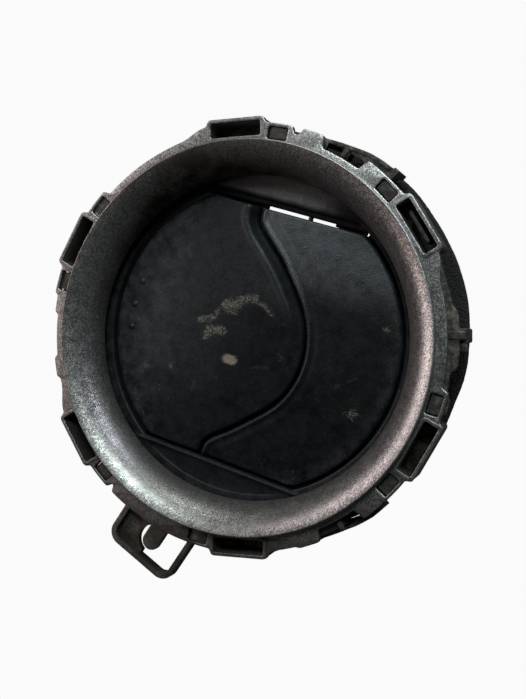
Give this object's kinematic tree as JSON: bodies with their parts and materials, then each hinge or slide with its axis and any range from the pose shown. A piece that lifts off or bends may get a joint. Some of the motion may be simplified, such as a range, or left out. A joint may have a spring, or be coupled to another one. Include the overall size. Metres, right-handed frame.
{
  "type": "round dashboard air vent",
  "caption": "Round car dashboard air vent with a funnel-shaped painted bezel, a turning rotor and linked flaps that meet along an S-shaped split, clip pockets, a fixing loop and a foam-wrapped duct spigot.",
  "frame": {"origin": "middle of the whole object's footprint, on the plane of the barrel's rear rim; the vent's own axis stands 3.2 mm along +Y from it", "axes": "+Z along the vent's axis, out of its face; +Y away from the fixing loop, across the upper clip pocket; +X to the right as seen from the front"},
  "size_m": [0.1134, 0.1194, 0.048],
  "materials": {
    "bezel_paint": "satin metallic graphite paint over plastic",
    "bare_plastic": "unpainted brown-black moulding, dusty",
    "flap_plastic": "fine leather-like grain, blue-black",
    "foam": "open-cell black foam",
    "felt": "grey pressed felt",
    "pin_steel": "drawn wire",
    "bush_plastic": "natural acetal"
  },
  "bodies": {
    "housing": {"bezel": "bezel_paint", "collar": "bare_plastic", "barrel": "bare_plastic", "foam_seal": "foam", "friction_ring": "felt"},
    "rotor": {"rotor_ring": "flap_plastic", "rotor_retainer": "bare_plastic", "left_upper_bush": "bush_plastic", "left_lower_bush": "bush_plastic", "right_upper_bush": "bush_plastic", "right_lower_bush": "bush_plastic"},
    "left_flap": {"left_flap": "flap_plastic", "left_upper_pin": "pin_steel", "left_lower_pin": "pin_steel", "left_link_pin": "pin_steel"},
    "right_flap": {"right_flap": "flap_plastic", "right_upper_pin": "pin_steel", "right_lower_pin": "pin_steel", "right_link_pin": "pin_steel"},
    "link": {"link_bar": "bare_plastic"}
  },
  "joints": [
    {"name": "rotor_spin", "type": "hinge", "parent": "housing", "child": "rotor", "pos_m": [0, 0.0032, 0.03], "axis": [0, 0, 1], "continuous": true},
    {"name": "left_flap_tilt", "type": "hinge", "parent": "rotor", "child": "left_flap", "pos_m": [-0.01528, 0.00796, 0.03], "axis": [-0.2974, -0.9548, 0], "range_deg": [0, 80]},
    {"name": "right_flap_tilt", "type": "hinge", "parent": "rotor", "child": "right_flap", "pos_m": [0.00477, 0.00171, 0.03], "axis": [-0.2974, -0.9548, 0], "range_deg": [0, 80]},
    {"name": "link_swing", "type": "hinge", "parent": "left_flap", "child": "link", "pos_m": [-0.02, 0.01226, 0.02311], "axis": [0.2974, 0.9548, 0], "range_deg": [0, 80]}
  ],
  "couplings": [
    {"joint": "right_flap_tilt", "follows": "left_flap_tilt", "ratio": 1},
    {"joint": "link_swing", "follows": "left_flap_tilt", "ratio": 1}
  ]
}
